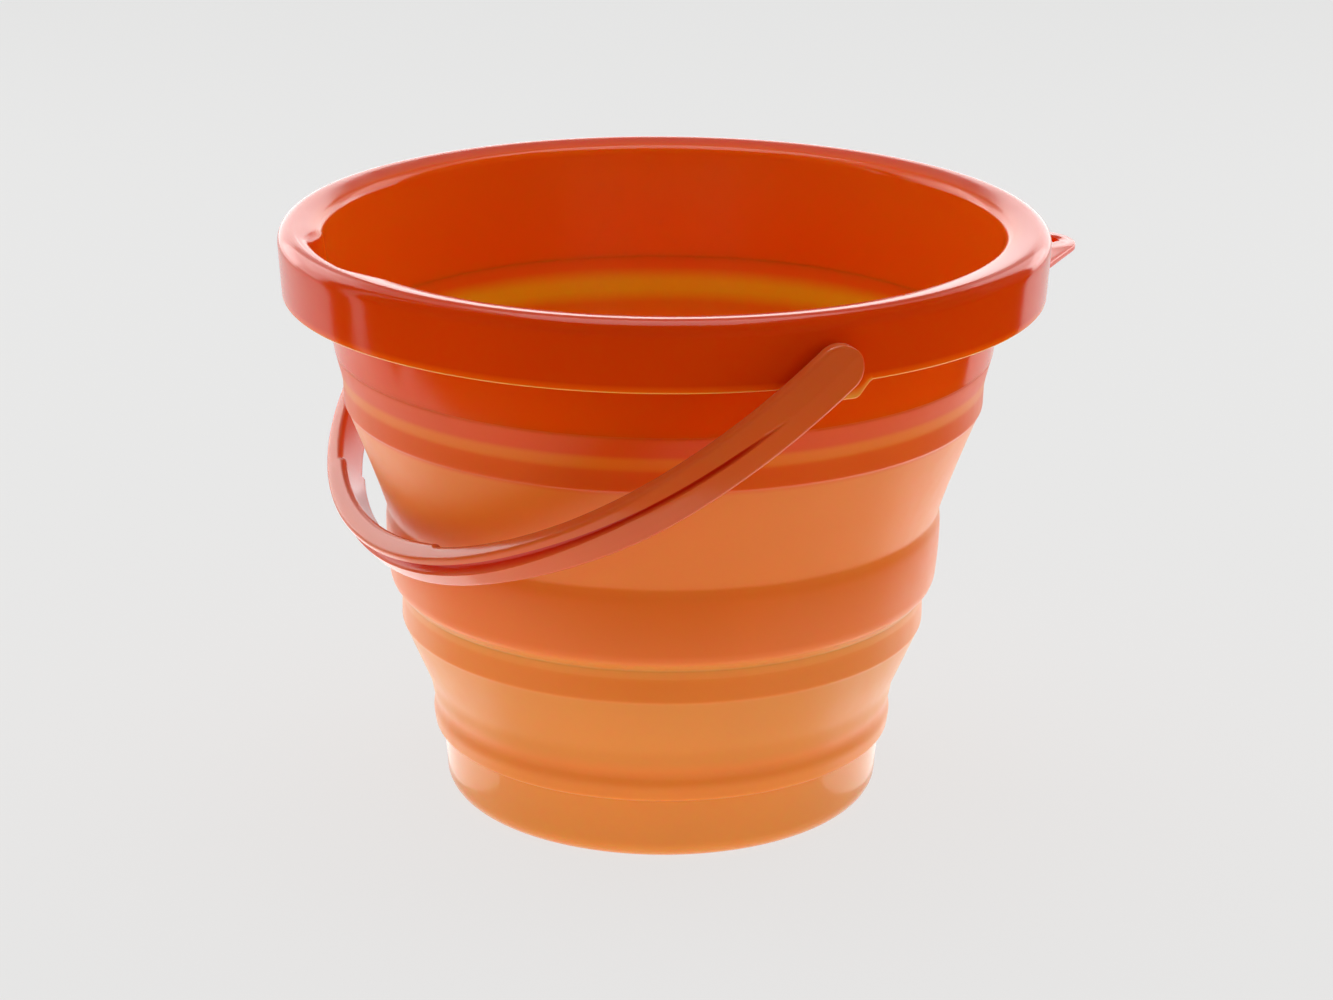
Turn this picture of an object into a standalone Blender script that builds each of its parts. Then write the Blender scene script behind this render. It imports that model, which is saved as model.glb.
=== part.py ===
"""Collapsible camp bucket: hard collar and base, folding soft wall, swinging bail handle.

Metres, +Z up. The origin is the centre of the underside, on the ground. The handle's pivot
axis runs along X. The pouring spout faces -Y and the hanging tab faces +Y.
"""
from math import asin, atan2, cos, degrees, hypot, pi, radians, sin, sqrt

import bmesh
import bpy
from mathutils import Vector

# Driving dimensions of the collar, from its rim inward and downward
RIM_RADIUS = 0.1622
COLLAR_HEIGHT = 0.0525
SKIRT_DEPTH = 0.0284
FLANGE_WIDTH = 0.0148
CREST_INSET = 0.0085
COLLAR_WALL = 0.0026
SKIRT_DRAFT = 0.0013
RIM_CORNER = 0.0064
LIP_CORNER = 0.0046
LIP_DROP = 0.0014
LIP_ARC = (radians(175.0), radians(100.0))
RIM_ARC = (radians(80.0), 0.0)

# Spout, a channel pressed into the collar's inner wall, and what it leaves of the flange
SPOUT_LAND = 0.0074
SPOUT_FLOOR_HALF_WIDTH = 0.0220
SPOUT_HALF_WIDTH = 0.0460
SPOUT_HEIGHT = 0.0471
SPOUT_DIP = 0.0010

# Heights of the zones of the body, from the ground up
BASE_HEIGHT = 0.0287
LOWER_BAND_RISE = 0.0153
LOWER_CONE_RISE = 0.0352
LOWER_RING_RISE = 0.0090
LOWER_GROOVE_RISE = 0.0043
WAIST_ROLL_RISE = 0.0045
MID_BAND_RISE = 0.0315
UPPER_CONE_RISE = 0.0480
UPPER_RING_RISE = 0.0089
UPPER_GROOVE_RISE = 0.0050
UPPER_BAND_RISE = 0.0096

# How far each zone draws in, from the rim down
SKIRT_SETBACK = 0.0225
UPPER_BAND_TAPER = 0.0025
UPPER_GROOVE_TAPER = 0.0011
UPPER_RING_TAPER = 0.0006
UPPER_CONE_TAPER = 0.0157
MID_BAND_TAPER = 0.0024
WAIST_ROLL_DEPTH = 0.0037
LOWER_GROOVE_TAPER = 0.0010
LOWER_RING_TAPER = 0.0007
LOWER_CONE_TAPER = 0.0117
ANKLE_STEP = 0.0028
BASE_TAPER = 0.0034
FOOT_INSET = 0.0075

# Fold lines: outside radius and height of each, worked out from the zones
COLLAR_JOINT_RADIUS = RIM_RADIUS - SKIRT_SETBACK
UPPER_GROOVE_RADIUS = COLLAR_JOINT_RADIUS - UPPER_BAND_TAPER
UPPER_RING_RADIUS = UPPER_GROOVE_RADIUS - UPPER_GROOVE_TAPER
UPPER_CONE_RADIUS = UPPER_RING_RADIUS - UPPER_RING_TAPER
SHOULDER_RADIUS = UPPER_CONE_RADIUS - UPPER_CONE_TAPER
WAIST_RADIUS = SHOULDER_RADIUS - MID_BAND_TAPER
LOWER_GROOVE_RADIUS = WAIST_RADIUS - WAIST_ROLL_DEPTH
LOWER_RING_RADIUS = LOWER_GROOVE_RADIUS - LOWER_GROOVE_TAPER
LOWER_CONE_RADIUS = LOWER_RING_RADIUS - LOWER_RING_TAPER
ANKLE_RADIUS = LOWER_CONE_RADIUS - LOWER_CONE_TAPER
BASE_JOINT_RADIUS = ANKLE_RADIUS - ANKLE_STEP
BASE_SIDE_RADIUS = BASE_JOINT_RADIUS - BASE_TAPER
FOOT_RADIUS = BASE_SIDE_RADIUS - FOOT_INSET
BASE_JOINT_HEIGHT = BASE_HEIGHT
ANKLE_HEIGHT = BASE_JOINT_HEIGHT + LOWER_BAND_RISE
LOWER_CONE_HEIGHT = ANKLE_HEIGHT + LOWER_CONE_RISE
LOWER_RING_HEIGHT = LOWER_CONE_HEIGHT + LOWER_RING_RISE
LOWER_GROOVE_HEIGHT = LOWER_RING_HEIGHT + LOWER_GROOVE_RISE
WAIST_HEIGHT = LOWER_GROOVE_HEIGHT + WAIST_ROLL_RISE
SHOULDER_HEIGHT = WAIST_HEIGHT + MID_BAND_RISE
UPPER_CONE_HEIGHT = SHOULDER_HEIGHT + UPPER_CONE_RISE
UPPER_RING_HEIGHT = UPPER_CONE_HEIGHT + UPPER_RING_RISE
UPPER_GROOVE_HEIGHT = UPPER_RING_HEIGHT + UPPER_GROOVE_RISE
COLLAR_JOINT_HEIGHT = UPPER_GROOVE_HEIGHT + UPPER_BAND_RISE
RIM_HEIGHT = COLLAR_JOINT_HEIGHT + COLLAR_HEIGHT
SKIRT_BOTTOM = RIM_HEIGHT - SKIRT_DEPTH
LIP_RADIUS = RIM_RADIUS - FLANGE_WIDTH

# Thickness of the soft wall
BAND_WALL = 0.0024
CONE_WALL = 0.0016
HINGE_WALL = 0.0010
BAND_EDGE = 0.0018
HINGE_STEP = 0.0006
JOINT_STEP = 0.0006

# Base cup
BASE_WALL = 0.0026
BASE_CORNER_HEIGHT = 0.0085
FOOT_WIDTH = 0.0070
FOOT_RECESS = 0.0020
FLOOR_RING_WIDTH = 0.0202

# Lap joints between the hard mouldings and the soft wall
TONGUE_LENGTH = 0.0050
TONGUE_WALL = 0.0012
SEAM_GAP = 0.0003

# Handle
PIVOT_DROP = 0.0195
ARM_WIDTH = 0.0198
ARM_THICKNESS = 0.0072
GRIP_WIDTH = 0.0125
GRIP_THICKNESS = 0.0102
NARROW_START = 0.0850
NARROW_LENGTH = 0.1000
GRIP_LENGTH = 0.1300
GRIP_BLEND = 0.0060
RIM_CLEARANCE = 0.0013
BOW_ROUND_SHARE = 0.985
HANDLE_EDGE = 0.0016
GROOVE_WIDTH_SHARE = 0.48
GROOVE_DEPTH = 0.0030
HANDLE_CROWN = 0.0006
GROOVE_FLOOR_SHARE = 0.24
GROOVE_START = 0.0330
GROOVE_RUN_OUT = 0.0290
REST_GAP = 0.0050
PIVOT_HEIGHT = RIM_HEIGHT - PIVOT_DROP

# Pivots: a boss on the skirt and the snap stud of the handle's end
BOSS_RADIUS = 0.0088
BOSS_HEIGHT = 0.0024
BOSS_DROP = 0.0066
BOSS_FLAT_HALF_WIDTH = 0.0120
BOSS_HALF_WIDTH = 0.0200
EYE_GAP = 0.0005
STUD_RADIUS = 0.0040
STUD_CLEARANCE = 0.0003
STUD_HEAD_RADIUS = 0.0058
STUD_HEAD_HEIGHT = 0.0026
STUD_HEAD_GAP = 0.0005

# Hanging tab
TAB_LENGTH = 0.0334
TAB_TIP_RADIUS = 0.0200
TAB_SIDE_ANGLE = radians(43.0)
TAB_THICKNESS = 0.0026
TAB_SINK = 0.0007
TAB_HOLE_RADIUS = 0.0048
TAB_HOLE_MARGIN = 0.0060
TAB_ROOT_DEPTH = 0.0012
TAB_REACH = RIM_RADIUS + TAB_LENGTH

# Counts
RING_STEPS = 48
FEATURE_STEPS = 7
SPOUT_STEPS = 4
CORNER_STEPS = 4
BOW_STEPS = 48
BOW_FINE_STEPS = 960
END_STEPS = 5
END_ANGLE = radians(82.0)
ROUND_STEPS = 32
STUD_STEPS = 24
SMOOTH_ANGLE = radians(32.0)

# Colours
HARD_ORANGE = (0.52, 0.060, 0.012, 1.0)
SOFT_ORANGE = (0.62, 0.120, 0.028, 1.0)


def clear_scene():
    for thing in list(bpy.data.objects):
        bpy.data.objects.remove(thing, do_unlink=True)


def material(name, colour, roughness):
    made = bpy.data.materials.new(name)
    made.use_nodes = True
    shader = made.node_tree.nodes["Principled BSDF"]
    shader.inputs["Base Color"].default_value = colour
    shader.inputs["Roughness"].default_value = roughness
    shader.inputs["Metallic"].default_value = 0.0
    return made


def smooth_step(value):
    held = min(max(value, 0.0), 1.0)
    return held * held * (3.0 - 2.0 * held)


def arc(centre, radius, start, end, steps):
    """Points on an arc in a section, its angles counted from the outward direction."""
    points = []
    for i in range(steps + 1):
        angle = start + (end - start) * i / steps
        points.append((centre[0] + radius * cos(angle), centre[1] + radius * sin(angle)))
    return points


def side_normals(line):
    """Unit normals of a section line, on the left of its direction."""
    normals = []
    last = len(line) - 1
    for i in range(len(line)):
        before = Vector(line[max(i - 1, 0)])
        after = Vector(line[min(i + 1, last)])
        along = (after - before).normalized()
        normals.append(Vector((-along.y, along.x)))
    return normals


def offset_line(line, walls):
    """The line moved to its left by each point's own wall thickness, with level ends."""
    moved = []
    last = len(line) - 1
    for i, (point, normal, wall) in enumerate(zip(line, side_normals(line), walls)):
        if i in (0, last):
            moved.append((point[0] + wall / normal.x, point[1]))
        else:
            moved.append((point[0] + wall * normal.x, point[1] + wall * normal.y))
    return moved


def ring_angles(count):
    return [2.0 * pi * i / count for i in range(count)]


def revolved(name, section_at, angles, look):
    """Lofts closed sections, each a loop of (radius, height), round the Z axis."""
    bm = bmesh.new()
    rings = []
    pole_of = {}
    for angle in angles:
        ring = []
        for k, (radius, height) in enumerate(section_at(angle)):
            if radius == 0:
                if k not in pole_of:
                    pole_of[k] = bm.verts.new((0.0, 0.0, height))
                ring.append(pole_of[k])
            else:
                ring.append(bm.verts.new((radius * cos(angle), radius * sin(angle), height)))
        rings.append(ring)
    for i, ring in enumerate(rings):
        following = rings[(i + 1) % len(rings)]
        size = len(ring)
        for k in range(size):
            corners = [ring[k], following[k], following[(k + 1) % size], ring[(k + 1) % size]]
            loop = list(dict.fromkeys(corners))
            if len(loop) > 2:
                bm.faces.new(loop)
    return finished(name, bm, look)


def finished(name, bm, look):
    """Turns the faces outward, shades them smooth and puts the mesh in the scene."""
    bmesh.ops.recalc_face_normals(bm, faces=bm.faces)
    mesh = bpy.data.meshes.new(name)
    bm.to_mesh(mesh)
    bm.free()
    mesh.shade_smooth()
    mesh.set_sharp_from_angle(angle=SMOOTH_ANGLE)
    made = bpy.data.objects.new(name, mesh)
    made.data.materials.append(look)
    bpy.context.scene.collection.objects.link(made)
    return made


def cylinder(name, centre, axis, radius, length, look, steps):
    """A closed cylinder, given the middle of its axis."""
    bm = bmesh.new()
    bmesh.ops.create_cone(bm, cap_ends=True, segments=steps, radius1=radius, radius2=radius, depth=length)
    turn = Vector((0.0, 0.0, 1.0)).rotation_difference(Vector(axis))
    bmesh.ops.rotate(bm, verts=bm.verts, cent=(0.0, 0.0, 0.0), matrix=turn.to_matrix())
    bmesh.ops.translate(bm, verts=bm.verts, vec=centre)
    return finished(name, bm, look)


def combine(target, tool, operation):
    """Adds a Boolean with an exact solver and hides its tool."""
    step = target.modifiers.new(tool.name, "BOOLEAN")
    step.operation = operation
    step.solver = "EXACT"
    step.object = tool
    tool.hide_render = True
    tool.display_type = "WIRE"
    tool.parent = target
    tool.matrix_parent_inverse = target.matrix_world.inverted()


# Soft wall

def shell(line, walls):
    """A closed section from its outside line, drawn top to bottom, and its walls."""
    inside = offset_line(line, [-wall for wall in walls])
    return line + inside[::-1]


def upper_band_section():
    """Soft band under the collar, lapped outside the collar's tongue."""
    top = COLLAR_JOINT_HEIGHT - SEAM_GAP / 2.0
    bottom = UPPER_GROOVE_HEIGHT + SEAM_GAP / 2.0
    lap_bottom = COLLAR_JOINT_HEIGHT - TONGUE_LENGTH - SEAM_GAP
    slope = (COLLAR_JOINT_RADIUS - UPPER_GROOVE_RADIUS) / (COLLAR_JOINT_HEIGHT - UPPER_GROOVE_HEIGHT)
    lap_radius = COLLAR_JOINT_RADIUS - slope * (COLLAR_JOINT_HEIGHT - lap_bottom)
    lap_wall = BAND_WALL / 2.0
    return [
        (COLLAR_JOINT_RADIUS - JOINT_STEP / 2.0, top),
        (lap_radius, lap_bottom),
        (UPPER_GROOVE_RADIUS, bottom),
        (UPPER_GROOVE_RADIUS - BAND_WALL, bottom),
        (lap_radius - BAND_WALL, lap_bottom),
        (lap_radius - lap_wall, lap_bottom),
        (COLLAR_JOINT_RADIUS - JOINT_STEP / 2.0 - lap_wall, top),
    ]


def upper_cone_section():
    """Thin hinge, stiff ring and the cone that folds, from the upper band to the shoulder."""
    top = UPPER_GROOVE_HEIGHT - SEAM_GAP / 2.0
    bottom = SHOULDER_HEIGHT + SEAM_GAP / 2.0
    foot = SHOULDER_RADIUS - BAND_EDGE / 2.0
    line = [
        (UPPER_GROOVE_RADIUS, top),
        (UPPER_RING_RADIUS, UPPER_RING_HEIGHT),
        (UPPER_RING_RADIUS, UPPER_RING_HEIGHT - HINGE_STEP),
        (UPPER_CONE_RADIUS, UPPER_CONE_HEIGHT),
        (UPPER_CONE_RADIUS - HINGE_STEP, UPPER_CONE_HEIGHT - HINGE_STEP),
        (foot, bottom + 2.0 * BAND_EDGE),
        (foot, bottom),
    ]
    walls = [HINGE_WALL, HINGE_WALL, BAND_WALL, BAND_WALL, CONE_WALL, CONE_WALL, HINGE_WALL]
    return shell(line, walls)


def mid_band_section():
    """Soft band between the folds, with rolled shoulders."""
    top = SHOULDER_HEIGHT - SEAM_GAP / 2.0
    bottom = LOWER_GROOVE_HEIGHT + SEAM_GAP / 2.0
    line = [
        (SHOULDER_RADIUS - BAND_EDGE, top),
        (SHOULDER_RADIUS - BAND_EDGE / 4.0, top - BAND_EDGE / 4.0),
        (SHOULDER_RADIUS, top - BAND_EDGE),
        (WAIST_RADIUS, WAIST_HEIGHT),
    ]
    roll = WAIST_RADIUS - LOWER_GROOVE_RADIUS
    drop = WAIST_HEIGHT - bottom
    for i in range(1, CORNER_STEPS + 1):
        angle = pi / 2.0 * i / CORNER_STEPS
        line.append((WAIST_RADIUS - roll * (1.0 - cos(angle)), WAIST_HEIGHT - drop * sin(angle)))
    inside = [
        (SHOULDER_RADIUS - BAND_EDGE - BAND_WALL, top),
        (WAIST_RADIUS - BAND_WALL, WAIST_HEIGHT),
        (LOWER_GROOVE_RADIUS - BAND_WALL, bottom),
    ]
    return line + inside[::-1]


def lower_cone_section():
    """Thin hinge, stiff ring and the cone that folds, from the mid band to the ankle."""
    top = LOWER_GROOVE_HEIGHT - SEAM_GAP / 2.0
    bottom = ANKLE_HEIGHT + SEAM_GAP / 2.0
    foot = ANKLE_RADIUS - BAND_EDGE / 2.0
    line = [
        (LOWER_GROOVE_RADIUS, top),
        (LOWER_RING_RADIUS, LOWER_RING_HEIGHT),
        (LOWER_RING_RADIUS, LOWER_RING_HEIGHT - HINGE_STEP),
        (LOWER_CONE_RADIUS, LOWER_CONE_HEIGHT),
        (LOWER_CONE_RADIUS - HINGE_STEP, LOWER_CONE_HEIGHT - HINGE_STEP),
        (foot, bottom + 2.0 * BAND_EDGE),
        (foot, bottom),
    ]
    walls = [HINGE_WALL, HINGE_WALL, BAND_WALL, BAND_WALL, CONE_WALL, CONE_WALL, HINGE_WALL]
    return shell(line, walls)


def lower_band_section():
    """Soft band above the base, lapped outside the base's tongue."""
    top = ANKLE_HEIGHT - SEAM_GAP / 2.0
    bottom = BASE_JOINT_HEIGHT + SEAM_GAP / 2.0
    lap_top = BASE_JOINT_HEIGHT + TONGUE_LENGTH + SEAM_GAP
    lap_wall = BAND_WALL / 2.0
    seat = BASE_JOINT_RADIUS + JOINT_STEP / 2.0
    return [
        (ANKLE_RADIUS - BAND_EDGE, top),
        (ANKLE_RADIUS - BAND_EDGE / 4.0, top - BAND_EDGE / 4.0),
        (ANKLE_RADIUS, top - BAND_EDGE),
        (ANKLE_RADIUS, lap_top),
        (ANKLE_RADIUS - BAND_EDGE / 4.0, bottom + BAND_EDGE),
        (seat + BAND_EDGE / 4.0, bottom),
        (BASE_JOINT_RADIUS - lap_wall, bottom),
        (BASE_JOINT_RADIUS - lap_wall, lap_top),
        (BASE_JOINT_RADIUS - BASE_WALL, lap_top),
        (ANKLE_RADIUS - BAND_EDGE - BAND_WALL, top),
    ]


# Hard mouldings

def base_section():
    """Cup with a foot ring, a floor pad inside it and a tongue under the soft wall."""
    top = BASE_JOINT_HEIGHT - SEAM_GAP / 2.0
    tongue_top = BASE_JOINT_HEIGHT + TONGUE_LENGTH
    tongue_outside = BASE_JOINT_RADIUS - BAND_WALL / 2.0 - SEAM_GAP
    corner_width = BASE_SIDE_RADIUS - FOOT_RADIUS
    corner = []
    for i in range(CORNER_STEPS + 1):
        angle = pi / 2.0 * i / CORNER_STEPS
        corner.append((
            FOOT_RADIUS + corner_width * cos(angle),
            BASE_CORNER_HEIGHT * (1.0 - sin(angle)),
        ))
    floor_top = FOOT_RECESS + BASE_WALL
    pad_radius = FOOT_RADIUS - FOOT_WIDTH - 2.0 * FOOT_RECESS - FLOOR_RING_WIDTH
    side_top = BASE_JOINT_RADIUS - BASE_WALL
    side_bottom = BASE_SIDE_RADIUS - BASE_WALL
    outside = [
        (tongue_outside, tongue_top),
        (tongue_outside, top),
        (BASE_JOINT_RADIUS, top),
    ]
    under = [
        (FOOT_RADIUS - FOOT_WIDTH, 0.0),
        (FOOT_RADIUS - FOOT_WIDTH - FOOT_RECESS, FOOT_RECESS),
        (pad_radius + FOOT_RECESS, FOOT_RECESS),
        (pad_radius, 0.0),
        (0.0, 0.0),
    ]
    inside = [
        (0.0, BASE_WALL),
        (pad_radius, BASE_WALL),
        (pad_radius + FOOT_RECESS, floor_top),
        (FOOT_RADIUS - BASE_WALL, floor_top),
        (side_bottom - BASE_WALL / 2.0, floor_top + BASE_WALL / 2.0),
        (side_bottom, floor_top + BASE_WALL),
        (side_top, top),
        (tongue_outside - TONGUE_WALL, tongue_top),
    ]
    return outside + corner + under + inside


def spout_share(angle):
    """One over the spout's floor, falling to zero where the spout ends."""
    aside = abs(atan2(sin(angle + pi / 2.0), cos(angle + pi / 2.0))) * LIP_RADIUS
    slope_width = SPOUT_HALF_WIDTH - SPOUT_FLOOR_HALF_WIDTH
    return 1.0 - smooth_step((aside - SPOUT_FLOOR_HALF_WIDTH) / slope_width)


def spout_pull(angle):
    """How far the spout draws the lip outward at an angle round the collar."""
    return (FLANGE_WIDTH - SPOUT_LAND) * spout_share(angle)


def boss_drop(angle):
    """How far the skirt's edge drops round a pivot."""
    aside = abs(sin(angle)) * RIM_RADIUS
    slope_width = BOSS_HALF_WIDTH - BOSS_FLAT_HALF_WIDTH
    return BOSS_DROP * (1.0 - smooth_step((aside - BOSS_FLAT_HALF_WIDTH) / slope_width))


def collar_skin():
    """Seen side of the collar: up its inner wall, over the flange and down the skirt."""
    lip_height = RIM_HEIGHT - LIP_DROP
    wall_foot = COLLAR_JOINT_RADIUS - COLLAR_WALL
    lip_face = LIP_RADIUS - LIP_CORNER
    line = [
        (wall_foot, COLLAR_JOINT_HEIGHT),
        ((wall_foot + lip_face) / 2.0, (COLLAR_JOINT_HEIGHT + lip_height) / 2.0),
    ]
    line += arc((LIP_RADIUS, lip_height - LIP_CORNER), LIP_CORNER, *LIP_ARC, CORNER_STEPS)
    line.append((RIM_RADIUS - CREST_INSET, RIM_HEIGHT))
    corner = (RIM_RADIUS - RIM_CORNER, RIM_HEIGHT - RIM_CORNER)
    line += arc(corner, RIM_CORNER, *RIM_ARC, CORNER_STEPS)
    line.append((RIM_RADIUS - SKIRT_DRAFT, SKIRT_BOTTOM))
    return line


def collar_section(angle):
    """Collar's section at an angle, with the spout drawn out and the bosses dropped."""
    skin = collar_skin()
    tongue_bottom = COLLAR_JOINT_HEIGHT - TONGUE_LENGTH
    slope = (COLLAR_JOINT_RADIUS - UPPER_GROOVE_RADIUS) / (COLLAR_JOINT_HEIGHT - UPPER_GROOVE_HEIGHT)
    tongue_root = COLLAR_JOINT_RADIUS - (JOINT_STEP + BAND_WALL) / 2.0 - SEAM_GAP
    tongue_tip = tongue_root - slope * TONGUE_LENGTH
    joint = COLLAR_JOINT_HEIGHT + SEAM_GAP / 2.0
    back = offset_line(skin, [-COLLAR_WALL] * len(skin))
    back[0] = (COLLAR_JOINT_RADIUS, joint)
    tongue = [
        (tongue_root, joint),
        (tongue_tip, tongue_bottom),
        (tongue_tip - TONGUE_WALL, tongue_bottom),
    ]
    section = skin + back[::-1] + tongue
    pull = spout_pull(angle)
    drop = boss_drop(angle)
    dip = SPOUT_DIP * spout_share(angle)
    flange_end = RIM_RADIUS - RIM_CORNER
    shaped = []
    for radius, height in section:
        rise = smooth_step(1.0 - (RIM_HEIGHT - LIP_DROP - height) / SPOUT_HEIGHT)
        reach = min(max((flange_end - radius) / (flange_end - LIP_RADIUS), 0.0), 1.0)
        low = 1.0 if abs(height - SKIRT_BOTTOM) < SKIRT_DRAFT and radius > LIP_RADIUS else 0.0
        high = smooth_step((height - RIM_HEIGHT + LIP_CORNER) / LIP_CORNER)
        shaped.append((radius + pull * rise * reach, height - drop * low - dip * reach * high))
    return shaped


def collar_angles():
    """Even steps, with extra ones where the spout and the bosses need them."""
    angles = set(ring_angles(RING_STEPS))
    boss_arc = BOSS_HALF_WIDTH / RIM_RADIUS
    spout_arc = SPOUT_HALF_WIDTH / LIP_RADIUS
    for middle, half, steps in (
        (0.0, boss_arc, FEATURE_STEPS),
        (pi, boss_arc, FEATURE_STEPS),
        (1.5 * pi, spout_arc, SPOUT_STEPS),
    ):
        for i in range(-steps, steps + 1):
            angles.add((middle + half * i / steps) % (2.0 * pi))
    least = 0.3 * boss_arc / FEATURE_STEPS
    kept = []
    for angle in sorted(angles):
        if not kept or angle - kept[-1] > least:
            kept.append(angle)
    if kept[0] + 2.0 * pi - kept[-1] < least:
        kept.pop()
    return kept


def hanging_tab(look):
    """Flat tab with a round tip, straight converging sides and a hanging hole."""
    tip_centre = TAB_REACH - TAB_TIP_RADIUS
    root = RIM_RADIUS - SKIRT_DRAFT - COLLAR_WALL + TAB_ROOT_DEPTH
    bottom = SKIRT_BOTTOM - TAB_SINK
    side = pi / 2.0 - TAB_SIDE_ANGLE
    touch = Vector((TAB_TIP_RADIUS * sin(side), tip_centre + TAB_TIP_RADIUS * cos(side)))
    run = Vector((sin(TAB_SIDE_ANGLE), -cos(TAB_SIDE_ANGLE)))
    # The side runs back from the tip to the circle where it is inside the skirt
    ahead = touch.dot(run)
    reach = -ahead - sqrt(ahead * ahead - touch.length_squared + root * root)
    root_x, root_y = touch + run * reach
    outline = [(root_x, root_y)]
    for i in range(-2 * CORNER_STEPS, 2 * CORNER_STEPS + 1):
        angle = side * i / (2 * CORNER_STEPS)
        outline.append((-TAB_TIP_RADIUS * sin(angle), tip_centre + TAB_TIP_RADIUS * cos(angle)))
    outline.append((-root_x, root_y))
    steps = 2 * CORNER_STEPS
    start = atan2(root_y, -root_x)
    end = atan2(root_y, root_x)
    for i in range(1, steps):
        angle = start + (end - start) * i / steps
        outline.append((root * cos(angle), root * sin(angle)))
    bm = bmesh.new()
    face = bm.faces.new([bm.verts.new((x, y, bottom)) for x, y in outline])
    grown = bmesh.ops.extrude_face_region(bm, geom=[face])
    moved = [item for item in grown["geom"] if isinstance(item, bmesh.types.BMVert)]
    bmesh.ops.translate(bm, verts=moved, vec=(0.0, 0.0, TAB_THICKNESS))
    return finished("hanging_tab_form", bm, look)


def rim_collar(look):
    collar = revolved("rim_collar", collar_section, collar_angles(), look)
    combine(collar, hanging_tab(look), "UNION")
    hole_centre = TAB_REACH - TAB_HOLE_MARGIN - TAB_HOLE_RADIUS
    hole = cylinder(
        "hanging_hole", (0.0, hole_centre, SKIRT_BOTTOM), (0.0, 0.0, 1.0),
        TAB_HOLE_RADIUS, 4.0 * TAB_THICKNESS, look, ROUND_STEPS)
    combine(collar, hole, "DIFFERENCE")
    boss_root = RIM_RADIUS - SKIRT_DRAFT - COLLAR_WALL / 2.0
    boss_face = RIM_RADIUS + BOSS_HEIGHT
    for side, word in ((1.0, "right"), (-1.0, "left")):
        middle = side * (boss_root + boss_face) / 2.0
        boss = cylinder(
            word + "_boss", (middle, 0.0, PIVOT_HEIGHT), (1.0, 0.0, 0.0),
            BOSS_RADIUS, boss_face - boss_root, look, ROUND_STEPS)
        combine(collar, boss, "UNION")
        bore = cylinder(
            word + "_bore", (side * RIM_RADIUS, 0.0, PIVOT_HEIGHT), (1.0, 0.0, 0.0),
            STUD_RADIUS + STUD_CLEARANCE, 4.0 * COLLAR_WALL + 2.0 * BOSS_HEIGHT, look, STUD_STEPS)
        combine(collar, bore, "DIFFERENCE")
    return collar


# Handle

def wall_outline():
    """Outside of the soft wall and the base, as a list of (radius, height)."""
    corners = [
        (COLLAR_JOINT_RADIUS, COLLAR_JOINT_HEIGHT),
        (UPPER_GROOVE_RADIUS, UPPER_GROOVE_HEIGHT),
        (UPPER_RING_RADIUS, UPPER_RING_HEIGHT),
        (UPPER_CONE_RADIUS, UPPER_CONE_HEIGHT),
        (SHOULDER_RADIUS, SHOULDER_HEIGHT),
        (WAIST_RADIUS, WAIST_HEIGHT),
        (LOWER_GROOVE_RADIUS, LOWER_GROOVE_HEIGHT),
        (LOWER_CONE_RADIUS, LOWER_CONE_HEIGHT),
        (ANKLE_RADIUS, ANKLE_HEIGHT),
        (BASE_JOINT_RADIUS, BASE_JOINT_HEIGHT),
    ]
    points = []
    for first, second in zip(corners, corners[1:]):
        for i in range(2 * CORNER_STEPS):
            share = i / (2 * CORNER_STEPS)
            points.append((
                first[0] + (second[0] - first[0]) * share,
                first[1] + (second[1] - first[1]) * share,
            ))
    return points


def handle_reach():
    """Outside of the grip, from the pivot axis."""
    return RIM_RADIUS + RIM_CLEARANCE + GRIP_THICKNESS


def handle_half_span():
    """Outside of an arm at its pivot, from the middle of the bucket."""
    return RIM_RADIUS + BOSS_HEIGHT + EYE_GAP + ARM_THICKNESS


def rest_tilt():
    """Angle below level at which the hanging grip meets the soft wall."""
    inner = handle_reach() - GRIP_THICKNESS
    half = GRIP_WIDTH / 2.0 + REST_GAP
    tilts = []
    for radius, height in wall_outline():
        distance = hypot(radius, PIVOT_HEIGHT - height)
        if distance >= inner:
            tilts.append(atan2(PIVOT_HEIGHT - height, radius) - asin(half / distance))
    return min(tilts)


def bow_point(share, depth):
    """Point on the bow, share 0 to 1 from one pivot to the other, sunk by a depth."""
    angle = pi * share
    across = (handle_half_span() - depth) * abs(cos(angle)) ** BOW_ROUND_SHARE
    down = (handle_reach() - depth) * abs(sin(angle)) ** BOW_ROUND_SHARE
    return Vector((across if angle < pi / 2.0 else -across, down))


def bow_shares():
    """Shares along the bow, spaced evenly by arc length."""
    fine = BOW_FINE_STEPS
    lengths = [0.0]
    for i in range(fine):
        gap = bow_point((i + 1) / fine, 0.0) - bow_point(i / fine, 0.0)
        lengths.append(lengths[-1] + gap.length)
    shares = []
    k = 0
    for i in range(BOW_STEPS + 1):
        goal = lengths[-1] * i / BOW_STEPS
        while k < fine and lengths[k] < goal:
            k += 1
        shares.append((k / fine, lengths[k]))
    return shares, lengths[-1]


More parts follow.
